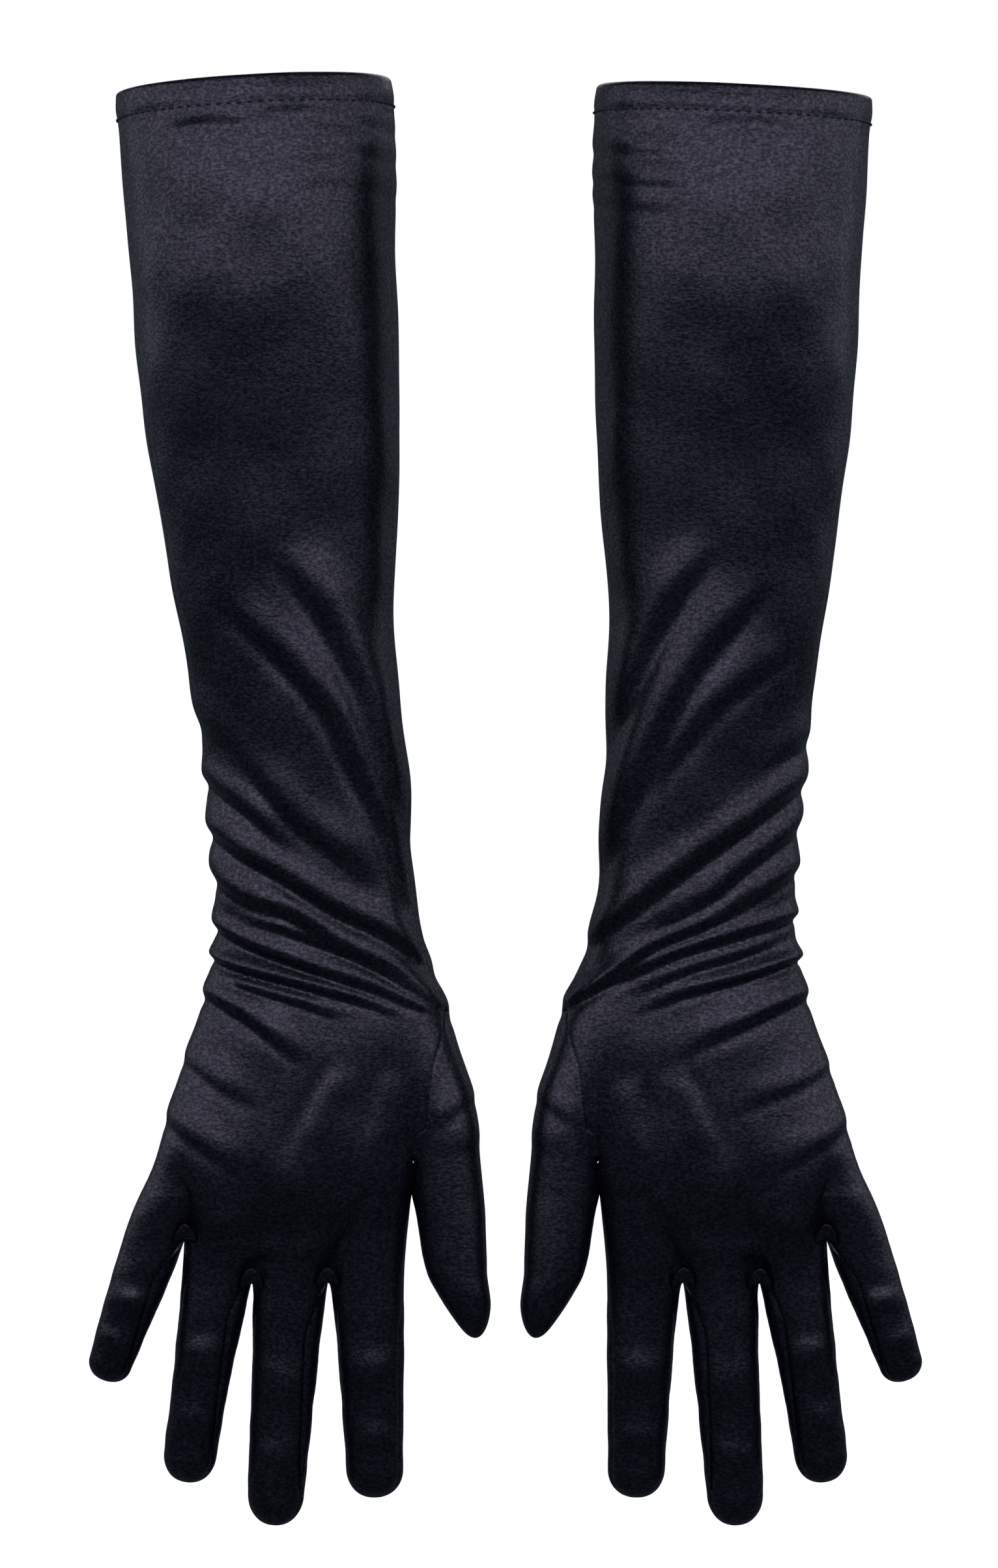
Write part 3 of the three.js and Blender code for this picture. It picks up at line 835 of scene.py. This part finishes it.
def joined_cloth(half, side):
    """The panel of one hand and its four finger strips, with the bend where they meet eased out."""
    panel = hand_panel(half, side)
    strips = {name: finger_strip(name, half) for name in finger_order}
    t = np.linspace(0, 1, strip_columns)
    for i, name in enumerate(finger_order):
        columns = slice(i * (strip_columns - 1), (i + 1) * (strip_columns - 1) + 1)
        little, thumb = finger_sides(name)
        share = ease(t, 0.04, 0.3) if little else np.ones_like(t)
        share = share * (ease(-t, -0.96, -0.7) if thumb else 1)
        strip = strips[name]
        run = np.concatenate([panel[-eased_above - 1 :, columns], strip[1 : eased_below + 1]])
        away = np.arange(len(run)) - float(eased_above)
        smooth = run.copy()
        for _ in range(60):
            smooth[1:-1] = (smooth[:-2] + 2 * smooth[1:-1] + smooth[2:]) / 4
        near = np.exp(-((away / 13) ** 2))[:, None]
        within = ease(np.minimum(away + eased_above, eased_below - away), 0, 6)[:, None]
        weight = near * within * share
        run = run + (smooth - run) * weight[..., None]
        panel[-eased_above - 1 :, columns] = run[: eased_above + 1]
        strip[: eased_below + 1] = run[eased_above:]
    return panel, strips


def finger_blend(glove, name):
    """Two points along a finger, 1 mm and 20 mm past the pivot of its bend joint."""
    (root_x, root_drop), (tip_x, tip_drop) = finger_shapes[name]["root"], finger_shapes[name]["tip"]
    run = np.array([(tip_x - root_x) * (1 if glove == "right" else -1), 0, root_drop - tip_drop])
    pivot = hinge_place(f"{glove}_{name}_bend")
    run /= np.linalg.norm(run)
    return {"start": pivot + run * 0.001, "end": pivot + run * 0.020}


def finish_piece(piece, slot, material, *nodes, cut=None):
    """Gives a piece its material and hides its CAD nodes. cut is its flat width and length in millimetres,
    and the share that it fills.
    """
    piece.data.materials.append(material)
    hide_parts(*nodes)
    if cut:
        width, length, filled = cut
        area = filled * width * length / 1e6
        width / 1000
        length / 1000


# The flat sizes are assumed ones.
panel_widths, facing_widths = {"back": 100, "palm": 128}, {"back": 98, "palm": 124}
finger_cuts = {"little": (22, 46), "ring": (22, 69), "middle": (23, 77), "index": (26, 67)}
for glove in ("right", "left"):
    for half in ("back", "palm"):
        panel_grid, strip_grids = joined_cloth(half, glove)
        panel = as_cloth(f"{glove}_{half}_cloth", glove, [panel_grid], half == "palm")
        parts = f"{glove}_sleeve_{half}", f"{glove}_hand_{half}"
        finish_piece(panel, "satin", satin, *parts, cut=(panel_widths[half], 368, 0.77))
        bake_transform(panel)
        for name, grid in strip_grids.items():
            strip = as_cloth(f"{glove}_{name}_{half}_cloth", glove, [grid], half == "palm")
            cut = (*finger_cuts[name], 0.88)
            finish_piece(strip, "satin", satin, f"{glove}_{name}_{half}", cut=cut)
            finger_blend(glove, name)
            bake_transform(strip)
    for name in finger_order:
        for facing, crotch in zip(("little_side", "thumb_side"), finger_sides(name)):
            if crotch is None:
                continue
            grid = fourchette(name, facing == "thumb_side")
            side_cloth = as_cloth(f"{glove}_{name}_{facing}_cloth", glove, [grid], facing == "little_side")
            cut = (10, fourchette_end * finger_cuts[name][1], 0.72)
            finish_piece(side_cloth, "satin", satin, f"{glove}_{name}_fourchette_{facing}", cut=cut)
            finger_blend(glove, name)
            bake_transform(side_cloth)


# --- Thumb --------------------------------------------------------------------------------------------------
# One cloth that starts as a point at the wrist, widens over the ball of the thumb between two long seams, and
# closes on itself below the crotch with a seam on its inner side.

thumb_tip_drop = 384.4
thumb_round = 366.0  # its end is rounded below this drop
# Drop, X of its middle, half width, half depth, set towards the palm.
thumb_stall = curve_through(
    [
        (341, -14.2, 11.1, 10.2, -3.6),
        (346, -13.4, 10.7, 10.0, -3.9),
        (352, -12.8, 10.3, 9.7, -4.3),
        (360, -12.0, 9.8, 9.3, -4.8),
        (366, -11.0, 9.0, 8.9, -5.1),
        (370, -9.6, 8.4, 8.6, -5.2),
        (374, -8.2, 8.0, 8.2, -5.2),
        (380, -6.6, 7.2, 7.4, -5.1),
        (384.4, -5.8, 6.8, 6.8, -5.0),
    ]
)
seam_lap = 1.3  # what's turned in under the hand's two panels


def thumb_grid(side):
    """Grid of the thumb's cloth, from its point at the wrist to its tip."""
    rows = [np.linspace(thumb_point_drop, thumb_crotch_drop, 70), np.linspace(341.6, thumb_round, 30)[:-1]]
    rows.append(thumb_round + (thumb_tip_drop - thumb_round) * np.sin(np.linspace(0, np.pi / 2, 22)))
    drop = np.concatenate(rows)[:, None]
    on_hand = drop <= thumb_crotch_drop
    level = np.minimum(drop, thumb_crotch_drop)
    back = arm_surface(level, np.interp(level, seam_drops, back_edge_turns))
    palm = arm_surface(level, np.interp(level, seam_drops, palm_edge_turns))
    ball_x, ball_wide, ball_deep, ball_y, _ = thumb_ball(level)
    stall_x, stall_wide, stall_deep, stall_y = thumb_stall(np.maximum(drop, thumb_crotch_drop))
    start = np.arctan2((back[..., 1] - ball_y) / ball_deep, (back[..., 0] - ball_x) / ball_wide)
    end = np.arctan2((palm[..., 1] - ball_y) / ball_deep, (palm[..., 0] - ball_x) / ball_wide)
    end = np.where((level > 300) & (end < start + 1), end + 2 * np.pi, end)
    turned = seam_lap / ball_wide * (1 - ease(level, 333, thumb_crotch_drop))
    closing = start + (-np.pi - start) * ease(drop, thumb_crotch_drop, 356)
    start = np.where(on_hand, start - turned, closing)
    end = np.where(on_hand, np.minimum(end + turned, start + 2 * np.pi), closing + 2 * np.pi)
    middle_x, middle_y = np.where(on_hand, ball_x, stall_x), np.where(on_hand, ball_y, stall_y)
    wide, deep = np.where(on_hand, ball_wide, stall_wide), np.where(on_hand, ball_deep, stall_deep)
    angles = start + np.linspace(0, 1, 49) * (end - start)
    across, out = wide * np.cos(angles), deep * np.sin(angles)
    joined = solve_outwards(
        lambda r: outside_form(level + 0 * r, middle_x + r * across, middle_y + r * out),
        np.full(angles.shape, 0.02),
        np.full(angles.shape, 2.2),
    )
    joined = joined + (1 - joined) * ease(drop, thumb_parts_drop - 4, thumb_parts_drop + 6)
    rounding = np.sqrt(1 - np.clip((drop - thumb_round) / (thumb_tip_drop - thumb_round), 0, 1) ** 2)
    far = np.where(on_hand, joined, rounding)
    grid = np.stack([middle_x + far * across, middle_y + far * out, -drop + 0 * far], -1)
    grid = grid + outward(grid) * (fold_height(grid, side) * (1 - ease(drop, 318, 330)))[..., None]
    edge = np.minimum(np.linalg.norm(grid - grid[:, :1], axis=2), np.linalg.norm(grid - grid[:, -1:], axis=2))
    inward = np.stack([middle_x - grid[..., 0], middle_y - grid[..., 1], 0 * angles], -1)
    inward /= np.maximum(np.linalg.norm(inward, axis=-1, keepdims=True), 0.1)
    under = 1 - ease(drop, 333, thumb_crotch_drop)
    lapped = 0.6 * (1 - ease(edge, 0.8 * seam_lap, 1.25 * seam_lap)) * under
    closed = seam_pull(edge, drop + 0 * edge) * (1 - ease(drop, 372, 382)) * (1 - under)
    return grid + inward * (lapped + closed)[..., None]


for glove in ("right", "left"):
    thumb = as_cloth(f"{glove}_thumb_cloth", glove, [thumb_grid(glove)])
    parts = f"{glove}_thumb_base", f"{glove}_thumb_back", f"{glove}_thumb_palm"
    finish_piece(thumb, "satin", satin, *parts, cut=(60, 100, 0.66))
    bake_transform(thumb)


# --- Gussets ------------------------------------------------------------------------------------------------
# A lozenge of satin in each crotch, whose point comes up on the back as a small raised tab.

gusset_nodes = ["ring_little_gusset", "middle_ring_gusset", "index_middle_gusset"]
for glove in ("right", "left"):
    for crotch, node in zip(crotches, gusset_nodes):
        x, drop, deep = crotch
        # From the tip of the tab on the back, over the crotch, to the point in the palm: a step number, how
        # far it's set back from the crotch, its height above it, and half its width.
        spine = curve_through(
            [
                (0, -deep - 4.4, 3.0, 0.6),
                (1, -deep - 5.4, 3.2, 2.6),
                (2, -deep - 4.3, 0.8, 3.3),
                (3, -deep - 1.6, -1.6, 2.9),
                (4, 0.0, -0.6, 2.2),
                (5, deep + 0.8, 0.4, 1.7),
                (6, deep + 1.8, 3.4, 0.3),
            ]
        )
        out, up, half_width = spine(np.linspace(0, 6, 43))
        out = out + root_set
        across = np.linspace(-1, 1, 11)
        grid = np.stack(
            [
                x + across * half_width[:, None],
                out[:, None] + 0 * across,
                -drop + up[:, None] - 0.9 * across**2 * half_width[:, None],
            ],
            -1,
        )
        grid[..., 1] += 1.1 * across**2 * np.sign(-out)[:, None] * ease(np.abs(out), 0, 5)[:, None]
        gusset = as_cloth(f"{glove}_{node}_cloth", glove, [grid])
        finish_piece(gusset, "satin", satin, f"{glove}_{node}", cut=(10, 22, 0.55))
        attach(gusset, f"{glove}_hand")


# --- Hem ----------------------------------------------------------------------------------------------------
# The cuff's edge is turned in once, and one line of lockstitch in black thread goes round it.

thread_finish = bpy.data.materials.new("black_thread")
thread_finish.use_nodes = True
thread_tree = thread_finish.node_tree
thread_shader = thread_tree.nodes["Principled BSDF"]
twist = Value(thread_tree, thread_tree.nodes.new("ShaderNodeTexCoord").outputs["Object"])
strands = twist.out(twist.node("ShaderNodeTexNoise", Vector=twist, Scale=2200.0, Detail=1.0), "Fac")
thread_shade = twist.node("ShaderNodeMix", {"data_type": "RGBA"}, Factor=strands)
thread_shade.inputs[6].default_value = (0.006, 0.006, 0.009, 1)
thread_shade.inputs[7].default_value = (0.028, 0.029, 0.036, 1)
thread_tree.links.new(thread_shade.outputs[2], thread_shader.inputs["Base Color"])
thread_tree.links.new((strands * 0.3 + 0.5).socket, thread_shader.inputs["Roughness"])

stitch_count = 84
stitch_share = 0.6  # how much of its pitch a stitch fills
stitch_radius = 0.34
for glove in ("right", "left"):
    for half in ("back", "palm"):
        rows = np.concatenate([[0.0], np.linspace(0.6, hem_depth - 0.3, 12)])
        grid = []
        u = np.linspace(0, 1, 61)
        for drop in rows:
            drops = np.full(len(u), drop)
            row = arm_cloth(drops, panel_angles(half, drops, u), glove)
            tucked = 0.55 + 0.15 * ease(drop, 0, 1.5) + cuff_roll(np.array([drop]))
            row = row - outward(row) * (tucked if drop > 0 else 0.0)
            grid.append(row)
        facing = as_cloth(f"{glove}_hem_facing_{half}_cloth", glove, [np.array(grid)], half == "palm", 0.5)
        cut = (facing_widths[half], 10, 0.84)
        finish_piece(facing, "satin", satin, f"{glove}_hem_facing_{half}", cut=cut)
        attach(facing, f"{glove}_sleeve")
    turns = np.linspace(0, 2 * np.pi, stitch_count, endpoint=False)
    around = np.linspace(0, 2 * np.pi, 7)
    lie = np.linspace(-0.5, 0.5, 9)
    grids = []
    for turn in turns:
        angles = turn + lie * (2 * np.pi / stitch_count) * stitch_share
        spine = arm_cloth(np.full(len(lie), hem_depth), angles, glove)
        dive = 0.28 - 0.75 * (2 * np.abs(lie)) ** 4
        spine = spine + outward(spine) * dive[:, None]
        radius = stitch_radius * np.sqrt(1.02 - (2 * np.abs(lie)) ** 4)
        out = outward(spine)
        ring = np.cos(around)[:, None, None] * out[None]
        ring = ring + np.sin(around)[:, None, None] * np.array([0, 0, 1.0])
        grids.append(np.swapaxes(spine[None] + ring * radius[None, :, None], 0, 1))
    stitches = as_cloth(f"{glove}_hem_stitches", glove, grids, False, 0.05)
    finish_piece(stitches, "hem_thread", thread_finish, f"{glove}_hem_thread")
    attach(stitches, f"{glove}_sleeve")
